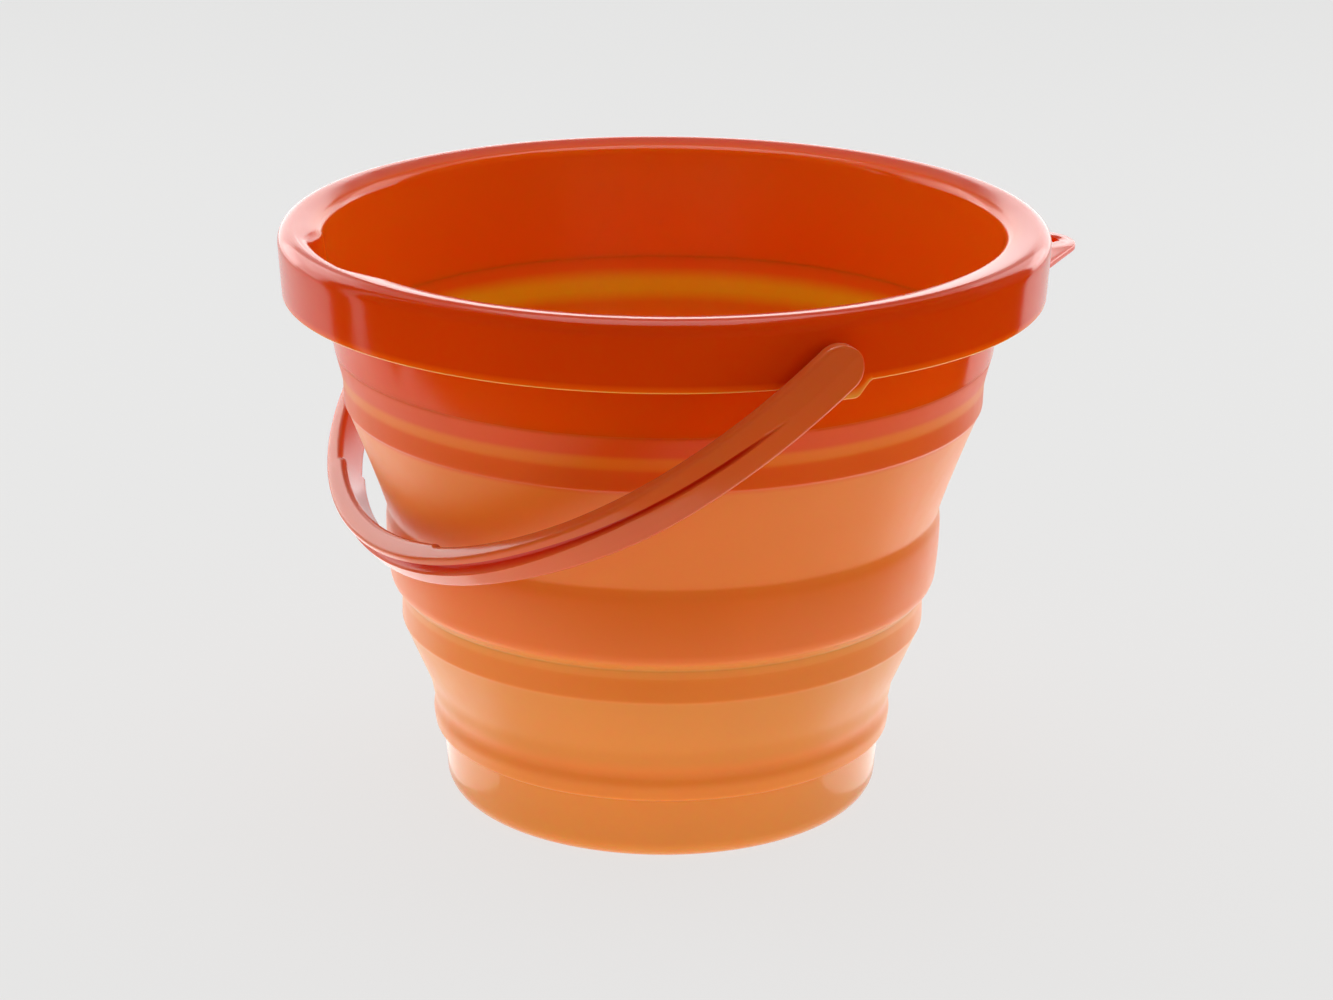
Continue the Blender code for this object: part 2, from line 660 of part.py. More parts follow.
def handle_section(along, whole, fill):
    """Section of the handle: (outward, across) points, at a length along the bow."""
    from_end = min(along, whole - along)
    from_middle = abs(along - whole / 2.0)
    grip = 1.0 - smooth_step((from_middle - GRIP_LENGTH / 2.0) / GRIP_BLEND)
    taper = smooth_step((from_end - GROOVE_START) / (whole / 2.0 - GRIP_LENGTH / 2.0 - GROOVE_START))
    depth = ARM_THICKNESS + (GRIP_THICKNESS - ARM_THICKNESS) * max(grip, taper / 2.0)
    groove = smooth_step((from_end - GROOVE_START) / GROOVE_RUN_OUT)
    narrow = smooth_step((from_end - NARROW_START) / NARROW_LENGTH)
    width = ARM_WIDTH + (GRIP_WIDTH - ARM_WIDTH) * narrow
    half = width / 2.0 * fill
    edge = min(HANDLE_EDGE, half / 2.0)
    least_share = HANDLE_EDGE / ARM_WIDTH
    mouth = half * GROOVE_WIDTH_SHARE * max(groove, least_share)
    floor = half * GROOVE_FLOOR_SHARE * max(groove, least_share)
    sunk = -GROOVE_DEPTH * groove
    return [
        (-depth, edge - half),
        (edge - depth, -half),
        (-edge, -half),
        (-HANDLE_CROWN, edge - half),
        (0.0, -mouth),
        (sunk, -floor),
        (sunk, floor),
        (0.0, mouth),
        (-HANDLE_CROWN, half - edge),
        (-edge, half),
        (edge - depth, half),
        (-depth, half - edge),
    ]


def bail_handle(look):
    """One bow with a grooved face, round ends and snap studs that point inward."""
    tilt = rest_tilt()
    reach_axis = Vector((0.0, -cos(tilt), -sin(tilt)))
    width_axis = Vector((0.0, -sin(tilt), cos(tilt)))
    span_axis = Vector((1.0, 0.0, 0.0))
    pivot = Vector((0.0, 0.0, PIVOT_HEIGHT))
    shares, whole = bow_shares()
    bm = bmesh.new()
    stations = []
    small = 0.5 / BOW_FINE_STEPS
    for share, along in shares:
        here = bow_point(share, 0.0)
        gap = bow_point(min(share + small, 1.0), 0.0) - bow_point(max(share - small, 0.0), 0.0)
        if share < small or share > 1.0 - small:
            outward = Vector((1.0 if share < small else -1.0, 0.0))
        else:
            outward = Vector((gap.y, -gap.x)).normalized()
            outward = outward if outward.dot(here) > 0 else -outward
        stations.append((here, outward, along, 1.0))
    # Past each pivot the arm narrows along a half circle
    for i in range(1, END_STEPS + 1):
        angle = END_ANGLE * i / END_STEPS
        past = Vector((0.0, -ARM_WIDTH / 2.0 * sin(angle)))
        stations.insert(0, (bow_point(0.0, 0.0) + past, Vector((1.0, 0.0)), 0.0, cos(angle)))
        stations.append((bow_point(1.0, 0.0) + past, Vector((-1.0, 0.0)), 0.0, cos(angle)))
    rings = []
    for here, outward, along, fill in stations:
        ring = []
        for out, across in handle_section(along, whole, fill):
            flat = here + outward * out
            place = span_axis * flat.x + reach_axis * flat.y + width_axis * across
            ring.append(bm.verts.new(place))
        rings.append(ring)
    for first, second in zip(rings, rings[1:]):
        size = len(first)
        for k in range(size):
            bm.faces.new((first[k], first[(k + 1) % size], second[(k + 1) % size], second[k]))
    bm.faces.new(rings[0])
    bm.faces.new(rings[-1][::-1])
    handle = finished("bail_handle", bm, look)
    handle.location = pivot
    bpy.context.view_layer.update()
    skirt_inside = RIM_RADIUS - SKIRT_DRAFT - COLLAR_WALL
    head_outside = skirt_inside - STUD_HEAD_GAP
    head_inside = head_outside - STUD_HEAD_HEIGHT
    stud_inside = (head_outside + head_inside) / 2.0
    stud_outside = handle_half_span() - ARM_THICKNESS / 2.0
    for side, word in ((1.0, "right"), (-1.0, "left")):
        for part, low, high, radius in (
            ("stud", stud_inside, stud_outside, STUD_RADIUS),
            ("stud_head", head_inside, head_outside, STUD_HEAD_RADIUS),
        ):
            form = cylinder(
                word + "_" + part, (side * (low + high) / 2.0, 0.0, PIVOT_HEIGHT),
                (1.0, 0.0, 0.0), radius, high - low, look, STUD_STEPS)
            combine(handle, form, "UNION")
    return handle


def soft_ring(name, section, look):
    return revolved(name, lambda angle: section, ring_angles(RING_STEPS), look)


def build():
    clear_scene()
    hard = material("hard_orange", HARD_ORANGE, 0.16)
    soft = material("soft_orange", SOFT_ORANGE, 0.42)
    rim_collar(hard)
    bail_handle(hard)
    soft_ring("upper_band", upper_band_section(), soft)
    soft_ring("upper_cone", upper_cone_section(), soft)
    soft_ring("mid_band", mid_band_section(), soft)
    soft_ring("lower_cone", lower_cone_section(), soft)
    soft_ring("lower_band", lower_band_section(), soft)
    soft_ring("base_cup", base_section(), hard)
    print("handle hangs", round(degrees(rest_tilt()), 2), "degrees below level")


build()
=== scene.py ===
"""Looks of the folding bucket: fine meshes, moulded plastics, a pale floor and soft studio light."""

from math import atan2, cos, pi, radians, sin

import bmesh
import bpy
import numpy as np
from mathutils import Euler, Matrix, Vector

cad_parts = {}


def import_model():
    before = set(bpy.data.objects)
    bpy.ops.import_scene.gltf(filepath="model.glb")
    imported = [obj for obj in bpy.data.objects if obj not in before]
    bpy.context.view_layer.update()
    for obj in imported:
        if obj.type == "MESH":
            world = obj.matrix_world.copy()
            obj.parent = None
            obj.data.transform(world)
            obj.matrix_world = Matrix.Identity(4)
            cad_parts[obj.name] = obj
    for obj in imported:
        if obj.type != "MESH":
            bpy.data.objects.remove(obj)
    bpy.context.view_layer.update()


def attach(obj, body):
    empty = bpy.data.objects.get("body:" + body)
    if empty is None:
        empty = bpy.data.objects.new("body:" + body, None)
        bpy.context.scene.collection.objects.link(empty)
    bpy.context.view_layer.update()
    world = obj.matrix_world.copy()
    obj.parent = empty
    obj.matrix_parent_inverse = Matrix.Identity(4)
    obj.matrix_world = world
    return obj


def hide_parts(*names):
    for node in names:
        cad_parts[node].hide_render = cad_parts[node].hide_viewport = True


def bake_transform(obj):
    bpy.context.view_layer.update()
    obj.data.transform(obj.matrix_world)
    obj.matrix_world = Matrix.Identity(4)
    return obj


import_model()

# Sizes shared with the CAD, in metres
RIM_RADIUS = 0.1622
RIM_HEIGHT = 0.2525
SKIRT_BOTTOM = 0.2241
COLLAR_WALL = 0.0026
SKIRT_DRAFT = 0.0013
RIM_CORNER = 0.0064
LIP_RADIUS = 0.1474
LIP_CORNER = 0.0046
LIP_DROP = 0.0014
CREST_RADIUS = 0.1537
SPOUT_DEPTH = 0.0074
SPOUT_HALF_WIDTH = 0.0460
SPOUT_FLAT = 0.0220
SPOUT_BOTTOM = 0.2040
COLLAR_JOINT_RADIUS = 0.1397
COLLAR_JOINT_HEIGHT = 0.2000
PIVOT_HEIGHT = 0.2330
BOSS_DROP = 0.0066
BOSS_FLAT = 0.0120
BOSS_HALF_WIDTH = 0.0200
BOSS_HEIGHT = 0.0024
STUD_RADIUS = 0.0040
STUD_HOLE_RADIUS = 0.0043
STUD_HEAD_RADIUS = 0.0058
STUD_HEAD_THICKNESS = 0.0026
TAB_ROOT_RADIUS = 0.1595
TAB_TIP = 0.1956
TAB_TIP_RADIUS = 0.0200
TAB_HOLE_CENTRE = 0.1848
TAB_HOLE_RADIUS = 0.0048
TAB_SIDE_ANGLE = radians(43.0)
TAB_THICKNESS = 0.0026
BASE_JOINT_RADIUS = 0.0965
BASE_JOINT_HEIGHT = 0.0281
BASE_SIDE = 0.0943
BASE_FOOT = 0.0866
BASE_CORNER_HEIGHT = 0.0085
HANDLE_TILT = radians(39.37)
HANDLE_SPAN = 0.1723
HANDLE_REACH = 0.1737
ARM_WIDTH = 0.0198
ARM_THICKNESS = 0.0072
GRIP_WIDTH = 0.0125
GRIP_THICKNESS = 0.0102
NARROW_START = 0.0850
NARROW_LENGTH = 0.1000
GRIP_LENGTH = 0.1300
BOW_ROUND_SHARE = 0.985

# Sizes that only the looks have, in metres
SPOUT_LIFT = 0.0010
BOSS_RADIUS = 0.0068
STUD_HEAD_BEVEL = 0.0010
TAB_DROP = 0.0007
TAB_EDGE = 0.0004
BASE_SAG = 0.0004
GRIP_RISE = 0.0045
GRIP_STEP = 0.0030
GROOVE_START = 0.0260
GROOVE_FADE = 0.0290
GROOVE_DEPTH = 0.0020
GRIP_GROOVE_EXTRA = 0.0014
GROOVE_RISE = 0.0046
GROOVE_RISE_START = 0.0100
GROOVE_RISE_LENGTH = 0.1500
HANDLE_EDGE = 0.0017
HANDLE_BACK_EDGE = 0.0026
HANDLE_CROWN = 0.0007

TAB_HOLE_STEPS = 40
RING_STEPS = 288

# Stretches of the collar with a finer mesh: the two bosses and the spout, as (middle, half) angles
FINE_STRETCHES = [(0.0, 0.13), (pi, 0.13), (1.5 * pi, 0.36)]


# Meshes

def smooth_step(value):
    held = np.clip(value, 0.0, 1.0)
    return held * held * (3.0 - 2.0 * held)


def rounded(points, steps=5):
    """A polyline from (radius, height, corner) rows, each corner turned into a short curve."""
    line = []
    count = len(points)
    for i, (r, z, corner) in enumerate(points):
        here = np.array([r, z])
        if corner == 0 or i in (0, count - 1):
            line.append(here)
            continue
        back = np.array(points[i - 1][:2]) - here
        ahead = np.array(points[i + 1][:2]) - here
        cut = min(corner, 0.49 * np.linalg.norm(back), 0.49 * np.linalg.norm(ahead))
        first = here + back / np.linalg.norm(back) * cut
        last = here + ahead / np.linalg.norm(ahead) * cut
        for t in np.linspace(0.0, 1.0, steps):
            line.append((1 - t) ** 2 * first + 2 * t * (1 - t) * here + t ** 2 * last)
    return np.array(line)


def refined(line, longest):
    """The same polyline with extra points on its long runs."""
    out = [line[0]]
    for a, b in zip(line, line[1:]):
        steps = max(1, int(np.ceil(np.linalg.norm(b - a) / longest)))
        for k in range(1, steps + 1):
            out.append(a + (b - a) * k / steps)
    return np.array(out)


def grid_mesh(name, points, close_around=True, close_section=True, caps=False, sharp=35.0):
    """A mesh over a grid of points, shaped (around, section, 3)."""
    around, section = points.shape[:2]
    index = np.arange(around * section).reshape(around, section)
    rows = index if close_around else index[:-1]
    after = np.roll(index, -1, axis=0) if close_around else index[1:]
    a, b = rows, after
    if close_section:
        c, d = np.roll(after, -1, axis=1), np.roll(rows, -1, axis=1)
    else:
        a, b, c, d = rows[:, :-1], after[:, :-1], after[:, 1:], rows[:, 1:]
    quads = np.stack([a, b, c, d], axis=-1).reshape(-1, 4).tolist()
    if caps:
        quads.append(index[0].tolist())
        quads.append(index[-1][::-1].tolist())
    mesh = bpy.data.meshes.new(name)
    mesh.from_pydata(points.reshape(-1, 3).tolist(), [], quads)
    mesh.validate()
    mesh.shade_smooth()
    mesh.set_sharp_from_angle(angle=radians(sharp))
    made = bpy.data.objects.new(name, mesh)
    bpy.context.scene.collection.objects.link(made)
    return made


def revolved(name, section_at, angles, **keys):
    """A closed section, which may change with the angle, turned round the Z axis."""
    rings = []
    for angle in angles:
        section = section_at(angle)
        ring = np.stack([
            section[:, 0] * cos(angle),
            section[:, 0] * sin(angle),
            section[:, 1],
        ], axis=-1)
        rings.append(ring)
    return grid_mesh(name, np.array(rings), **keys)


def face_out(thing):
    """Turns the faces of a closed mesh outward."""
    bm = bmesh.new()
    bm.from_mesh(thing.data)
    bmesh.ops.recalc_face_normals(bm, faces=bm.faces)
    bm.to_mesh(thing.data)
    bm.free()
    return thing


def even_angles(count):
    return [2.0 * pi * i / count for i in range(count)]


def store(thing, name, values):
    field = thing.data.attributes.new(name, "FLOAT", "POINT")
    field.data.foreach_set("value", np.asarray(values, dtype=np.float32))


def offset(line, depths):
    """The line moved to its right by each point's own depth."""
    along = np.gradient(line, axis=0)
    along /= np.linalg.norm(along, axis=1)[:, None]
    normal = np.stack([along[:, 1], -along[:, 0]], axis=-1)
    return line + normal * np.asarray(depths)[:, None]


# Soft wall, from the collar down; outlines are (radius, height, corner) rows

WAVE_DEPTH = 0.00016
UPPER_LINE = [
    (0.13940, 0.19995, 0.0),
    (0.13930, 0.19880, 0.0006),
    (0.13715, 0.19050, 0.0016),
    (0.13625, 0.18560, 0.0014),
    (0.13600, 0.17650, 0.0006),
    (0.13530, 0.17570, 0.0006),
    (0.12780, 0.15650, 0.0120),
    (0.12200, 0.14000, 0.0100),
    (0.11870, 0.12950, 0.0040),
    (0.11890, 0.12760, 0.0016),
    (0.11940, 0.12430, 0.0020),
    (0.11940, 0.11900, 0.0030),
    (0.11900, 0.11000, 0.0060),
    (0.11800, 0.09950, 0.0018),
    (0.11680, 0.09640, 0.0016),
    (0.11420, 0.09420, 0.0020),
    (0.11330, 0.09250, 0.0),
]
LOWER_LINE = [
    (0.11330, 0.09250, 0.0),
    (0.11290, 0.08880, 0.0010),
    (0.11290, 0.08780, 0.0008),
    (0.11300, 0.07850, 0.0008),
    (0.11230, 0.07730, 0.0006),
    (0.10960, 0.07080, 0.0040),
    (0.10120, 0.05100, 0.0050),
    (0.10030, 0.04550, 0.0030),
    (0.09935, 0.04180, 0.0024),
    (0.09925, 0.03930, 0.0024),
    (0.10000, 0.03550, 0.0016),
    (0.09920, 0.02960, 0.0008),
    (0.09800, 0.02885, 0.0),
]
UPPER_INSIDE = [
    (0.13700, 0.20045),
    (0.13460, 0.19000),
    (0.13370, 0.18300),
    (0.13280, 0.17500),
    (0.12600, 0.15600),
    (0.11700, 0.12900),
    (0.11680, 0.12000),
    (0.11560, 0.09900),
    (0.11320, 0.09640),
    (0.11190, 0.09250),
]
UPPER_KEY = [(0.1378, 0.19998), (0.1378, 0.2012), (0.1390, 0.2012), (0.1390, 0.19998)]
LOWER_INSIDE = [
    (0.11190, 0.09250),
    (0.11100, 0.08800),
    (0.11020, 0.07850),
    (0.09960, 0.05200),
    (0.09800, 0.04550),
    (0.09680, 0.04200),
    (0.09640, 0.02885),
]


def wave(angles, heights):
    """How far the soft wall leans out of true, in metres."""
    slow = np.sin(2.0 * angles + 0.7) + 0.6 * np.sin(3.0 * angles + 31.0 * heights)
    fine = 0.5 * np.sin(5.0 * angles - 60.0 * heights + 1.9)
    held = smooth_step((heights - 0.046) / 0.02) * smooth_step((0.174 - heights) / 0.03)
    return WAVE_DEPTH * (slow + fine) * held


def soft_wall(name, rows, inner_rows, look, key=()):
    outside = refined(rounded(rows), 0.0012)
    inside = refined(rounded([(r, z, 0.004) for r, z in inner_rows]), 0.002)
    section = np.vstack([outside, inside[::-1]] + ([np.array(key)] if key else []))
    angles = np.array(even_angles(RING_STEPS))
    theta = angles[:, None]
    radius = section[None, :, 0] + wave(theta, section[None, :, 1])
    height = np.repeat(section[None, :, 1], len(angles), axis=0)
    points = np.stack([radius * np.cos(theta), radius * np.sin(theta), height], axis=-1)
    made = grid_mesh(name, points, sharp=30.0)
    face_out(made)
    store(made, "rest_height", height.ravel())
    inner = np.zeros(len(section))
    inner[len(outside):] = 1.0
    store(made, "inside", np.tile(inner, len(angles)))
    made.data.materials.append(look)
    return made


# Hard mouldings

def spout_share(angle):
    aside = abs(atan2(sin(angle + pi / 2.0), cos(angle + pi / 2.0))) * LIP_RADIUS
    return 1.0 - smooth_step((aside - SPOUT_FLAT) / (SPOUT_HALF_WIDTH - SPOUT_FLAT))


def boss_share(angle):
    aside = abs(sin(angle)) * RIM_RADIUS
    return 1.0 - smooth_step((aside - BOSS_FLAT) / (BOSS_HALF_WIDTH - BOSS_FLAT))


def arc(centre, radius, start, end, steps):
    angles = np.linspace(radians(start), radians(end), steps)
    return [(centre[0] + radius * cos(a), centre[1] + radius * sin(a)) for a in angles]


def collar_skin():
    lip_height = RIM_HEIGHT - LIP_DROP
    foot = COLLAR_JOINT_RADIUS - COLLAR_WALL
    face = LIP_RADIUS - LIP_CORNER
    line = [(foot, COLLAR_JOINT_HEIGHT)]
    for share in np.linspace(0.08, 0.92, 16):
        line.append((
            foot + (face - foot) * share,
            COLLAR_JOINT_HEIGHT + (lip_height - LIP_CORNER - COLLAR_JOINT_HEIGHT) * share,
        ))
    line += arc((LIP_RADIUS, lip_height - LIP_CORNER), LIP_CORNER, 178.0, 100.0, 10)
    corner = (RIM_RADIUS - RIM_CORNER, RIM_HEIGHT - RIM_CORNER)
    start = np.array(line[-1])
    end = np.array(arc(corner, RIM_CORNER, 84.0, 84.0, 1)[0])
    middle = np.array([CREST_RADIUS, RIM_HEIGHT + 0.0001])
    for t in np.linspace(0.0, 1.0, 9)[1:-1]:
        line.append(tuple((1 - t) ** 2 * start + 2 * t * (1 - t) * middle + t ** 2 * end))
    line += arc(corner, RIM_CORNER, 84.0, 0.0, 12)
    top = np.array(line[-1])
    foot_radius = RIM_RADIUS - SKIRT_DRAFT
    bottom = np.array([foot_radius, SKIRT_BOTTOM + 0.0007])
    for share in np.linspace(0.0, 1.0, 9)[1:]:
        line.append(tuple(top + (bottom - top) * share))
    line += arc((foot_radius - 0.0007, SKIRT_BOTTOM + 0.0007), 0.0007, -20.0, -90.0, 5)
    return line


def collar_section(angle):
    skin = np.array(collar_skin())
    body = skin[:-5]
    back = offset(body, np.full(len(body), COLLAR_WALL))
    back[0] = (COLLAR_JOINT_RADIUS, COLLAR_JOINT_HEIGHT)
    edge = arc(
        (RIM_RADIUS - SKIRT_DRAFT - COLLAR_WALL + 0.0005, SKIRT_BOTTOM + 0.0005),
        0.0005, -90.0, -180.0, 4)
    section = np.array(list(map(tuple, skin)) + edge + list(map(tuple, back[::-1])))
    radius, height = section[:, 0], section[:, 1]
    lip = RIM_HEIGHT - LIP_DROP
    rise = smooth_step((height - SPOUT_BOTTOM) / (lip - SPOUT_BOTTOM))
    flange_end = RIM_RADIUS - RIM_CORNER
    reach = np.clip((flange_end - radius) / (flange_end - LIP_RADIUS), 0.0, 1.0)
    low = (height < SKIRT_BOTTOM + 0.0032) & (radius > LIP_RADIUS)
    share = spout_share(angle)
    top = smooth_step((height - lip + 0.006) / 0.006)
    moved = section.copy()
    moved[:, 0] += share * SPOUT_DEPTH * rise * reach
    moved[:, 1] += share * SPOUT_LIFT * reach ** 2 * top
    moved[:, 1] -= boss_share(angle) * BOSS_DROP * low
    return moved


def rim_collar(look):
    """The collar; a stored mask of painted glow, high on the inner wall where light comes through
    and on the skirt's bottom edge, painted as a bright line.
    """
    angles = set(even_angles(RING_STEPS))
    for middle, half in FINE_STRETCHES:
        for extra in np.linspace(-half, half, 61):
            angles.add((middle + extra) % (2.0 * pi))
    made = face_out(revolved("collar", collar_section, sorted(angles), sharp=40.0))
    points = np.array([vertex.co for vertex in made.data.vertices])
    outward = np.hypot(points[:, 0], points[:, 1])
    inner = 0.6 * smooth_step((LIP_RADIUS + 0.004 - outward) / 0.010)
    place = np.arange(len(points)) % len(collar_section(0.0))
    inner[place >= len(collar_skin())] *= 0.4
    edge = smooth_step((SKIRT_BOTTOM + 0.0012 - points[:, 2]) / 0.0008) * (outward > LIP_RADIUS)
    # Painted glow: the inner wall and the skirt's bottom edge are made lighter in colour
    store(made, "painted_glow", np.maximum(inner, edge))
    made.data.materials.append(look)
    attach(made, "collar")
    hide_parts("rim_collar")
    return made


def tab_outline(grow, steps=10):
    """Outline of the hanging tab and of its hole, pulled in by a bevel."""
    tip_radius = TAB_TIP_RADIUS + grow
    tip_centre = TAB_TIP - TAB_TIP_RADIUS
    side = pi / 2.0 - TAB_SIDE_ANGLE
    points = []
    for i in range(-steps, steps + 1):
        angle = side * i / steps
        points.append((tip_radius * sin(angle), tip_centre + tip_radius * cos(angle)))
    touch = np.array(points[-1])
    run = np.array([sin(TAB_SIDE_ANGLE), -cos(TAB_SIDE_ANGLE)])
    along = np.linspace(0.0, 0.08, 801)[:, None]
    line = touch + run * along
    root = line[np.argmin(abs(np.hypot(line[:, 0], line[:, 1]) - TAB_ROOT_RADIUS))]
    points.append(tuple(root))
    points.insert(0, (-root[0], root[1]))
    first = atan2(root[0], root[1])
    for share in np.linspace(1.0, -1.0, 13)[1:-1]:
        points.append((TAB_ROOT_RADIUS * sin(first * share), TAB_ROOT_RADIUS * cos(first * share)))
    return points


def hanging_tab(look):
    bottom = SKIRT_BOTTOM - TAB_DROP
    bm = bmesh.new()
    outer, inner = [], []
    top = TAB_THICKNESS
    for rise, grow in ((0.0, -TAB_EDGE), (TAB_EDGE, 0.0), (top - TAB_EDGE, 0.0), (top, -TAB_EDGE)):
        outline = tab_outline(grow)
        outer.append([bm.verts.new((x, y, bottom + rise)) for x, y in outline])
        ring = []
        for angle in even_angles(TAB_HOLE_STEPS):
            r = TAB_HOLE_RADIUS - grow
            place = (r * cos(angle), TAB_HOLE_CENTRE + r * sin(angle), bottom + rise)
            ring.append(bm.verts.new(place))
        inner.append(ring)
    for loops in (outer, inner):
        for low, high in zip(loops, loops[1:]):
            size = len(low)
            for k in range(size):
                bm.faces.new((low[k], low[(k + 1) % size], high[(k + 1) % size], high[k]))
    for level in (0, -1):
        rim = []
        for ring in (outer[level], inner[level]):
            for k in range(len(ring)):
                rim.append(bm.edges.get((ring[k], ring[(k + 1) % len(ring)])))
        bmesh.ops.triangle_fill(bm, edges=rim, use_beauty=True)
    bmesh.ops.recalc_face_normals(bm, faces=bm.faces)
    mesh = bpy.data.meshes.new("hanging_tab")
    bm.to_mesh(mesh)
    bm.free()
    mesh.shade_smooth()
    mesh.set_sharp_from_angle(angle=radians(50.0))
    made = bpy.data.objects.new("hanging_tab", mesh)
    bpy.context.scene.collection.objects.link(made)
    mesh.materials.append(look)
    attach(made, "collar")
    return made


def turned_x(name, side, rows, steps, look, body):
    """A turned piece on the pivot axis, from (distance outward, radius) rows."""
    points = []
    for angle in even_angles(steps):
        points.append([(side * x, r * cos(angle), PIVOT_HEIGHT + r * sin(angle)) for x, r in rows])
    made = face_out(grid_mesh(name, np.array(points), close_section=False, sharp=40.0))
    made.data.materials.append(look)
    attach(made, body)
    return made


BASE_RIM = [(0.0955, 0.0337), (0.0955, 0.02855), (0.0962, 0.02855), (0.0965, 0.0281)]
BASE_UNDERSIDE = [(0.0796, 0.0), (0.0776, 0.0020), (0.0580, 0.0020), (0.0560, 0.0), (0.0, 0.0)]
BASE_INSIDE = [
    (0.0, 0.0026), (0.0560, 0.0026), (0.0580, 0.0046), (0.0840, 0.0046), (0.0876, 0.0056),
    (0.0899, 0.0076), (0.0911, 0.0100), (0.0944, 0.02855), (0.0944, 0.0337),
]


def base_cup(look):
    corner = []
    for angle in np.linspace(0.0, pi / 2.0, 14):
        radius = BASE_FOOT + (BASE_SIDE - BASE_FOOT) * cos(angle)
        corner.append((radius, BASE_CORNER_HEIGHT * (1.0 - sin(angle))))
    rows = list(BASE_RIM)
    for share in np.linspace(0.1, 0.95, 8):
        radius = BASE_JOINT_RADIUS + (BASE_SIDE - BASE_JOINT_RADIUS) * share
        height = BASE_JOINT_HEIGHT + (BASE_CORNER_HEIGHT - BASE_JOINT_HEIGHT) * share
        rows.append((radius - BASE_SAG * sin(pi * share), height))
    rows += corner + BASE_UNDERSIDE + BASE_INSIDE
    section = np.array(rows)
    made = revolved("base", lambda angle: section, even_angles(RING_STEPS), sharp=35.0)
    bm = bmesh.new()
    bm.from_mesh(made.data)
    bmesh.ops.remove_doubles(bm, verts=bm.verts, dist=1e-6)
    bmesh.ops.recalc_face_normals(bm, faces=bm.faces)
    bm.to_mesh(made.data)
    bm.free()
    made.data.materials.append(look)
    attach(made, "base")
    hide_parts("base_cup")
    return made


# Handle and its pivots

def bow_point(angle, depth=0.0):
    across = (HANDLE_SPAN - depth) * abs(cos(angle)) ** BOW_ROUND_SHARE
    down = (HANDLE_REACH - depth) * abs(sin(angle)) ** BOW_ROUND_SHARE
    return np.array([across if angle < pi / 2.0 else -across, down])


def bow_angles(steps):
    fine = np.linspace(0.0, pi, 4001)
    points = np.array([bow_point(a) for a in fine])
    lengths = np.concatenate([[0.0], np.cumsum(np.linalg.norm(np.diff(points, axis=0), axis=1))])
    goals = np.linspace(0.0, lengths[-1], steps + 1)
    return np.interp(goals, lengths, fine), goals, lengths[-1]


def handle_section(along, whole, fill=1.0):
    """Section of the handle, as (outward, across) points, and how deep each lies in the groove,
    which sets the painted groove shade.
    """
    from_end = min(along, whole - along)
    from_middle = abs(along - whole / 2.0)
    grip = 1.0 - smooth_step((from_middle - GRIP_LENGTH / 2.0) / GRIP_STEP)
    run = whole / 2.0 - GRIP_LENGTH / 2.0 - GROOVE_START
    swell = smooth_step((from_end - GROOVE_START) / run)
    depth = ARM_THICKNESS + (GRIP_THICKNESS - ARM_THICKNESS) * max(grip, swell / 2.0)
    groove = float(smooth_step((from_end - GROOVE_START) / GROOVE_FADE))
    narrow = float(smooth_step((from_end - NARROW_START) / NARROW_LENGTH))
    half = (ARM_WIDTH + (GRIP_WIDTH - ARM_WIDTH) * narrow) / 2.0 * fill
    rise = GRIP_RISE * narrow
    lift = GROOVE_RISE * float(smooth_step((from_end - GROOVE_RISE_START) / GROOVE_RISE_LENGTH))
    edge = min(HANDLE_EDGE, 0.45 * half)
    back_edge = min(HANDLE_BACK_EDGE, 0.45 * half)
    crown = HANDLE_CROWN * fill
    mouth = (0.0005 + 0.0008 * groove + 0.0018 * narrow) * fill
    floor = 0.4 * mouth
    flat = half - edge
    front = np.concatenate([
        np.linspace(-flat, lift - mouth, 9)[:-1],
        np.linspace(lift - mouth, lift - floor, 6)[:-1],
        np.linspace(lift - floor, lift + floor, 5),
        np.linspace(lift + floor, lift + mouth, 6)[1:],
        np.linspace(lift + mouth, flat + rise, 7)[1:],
    ])
    sunk = groove * (1.0 - smooth_step((abs(front - lift) - floor) / (mouth - floor)))
    peak = np.sqrt(((front - rise / 2.0) / (half + rise / 2.0)) ** 2 + 0.0036) - 0.06
    out = -crown * peak - (GROOVE_DEPTH + GRIP_GROOVE_EXTRA * narrow) * sunk
    rows = list(zip(out, front))
    top = out[-1]
    rows += [
        (top - edge * (1.0 - cos(a)), flat + rise + edge * sin(a))
        for a in np.linspace(0.25, pi / 2.0, 6)
    ]
    low = half - back_edge
    rows += [
        (-depth + back_edge * (1.0 - sin(a)), low + rise + back_edge * cos(a))
        for a in np.linspace(0.0, pi / 2.0, 6)
    ]
    rows += [
        (-depth + back_edge * (1.0 - cos(a)), -low - back_edge * sin(a))
        for a in np.linspace(0.0, pi / 2.0, 6)
    ]
    rows += [
        (top - edge * (1.0 - cos(a)), -flat - edge * sin(a))
        for a in np.linspace(pi / 2.0, 0.25, 6)
    ]
    shade = np.zeros(len(rows))
    shade[:len(front)] = sunk
    return np.array(rows), shade


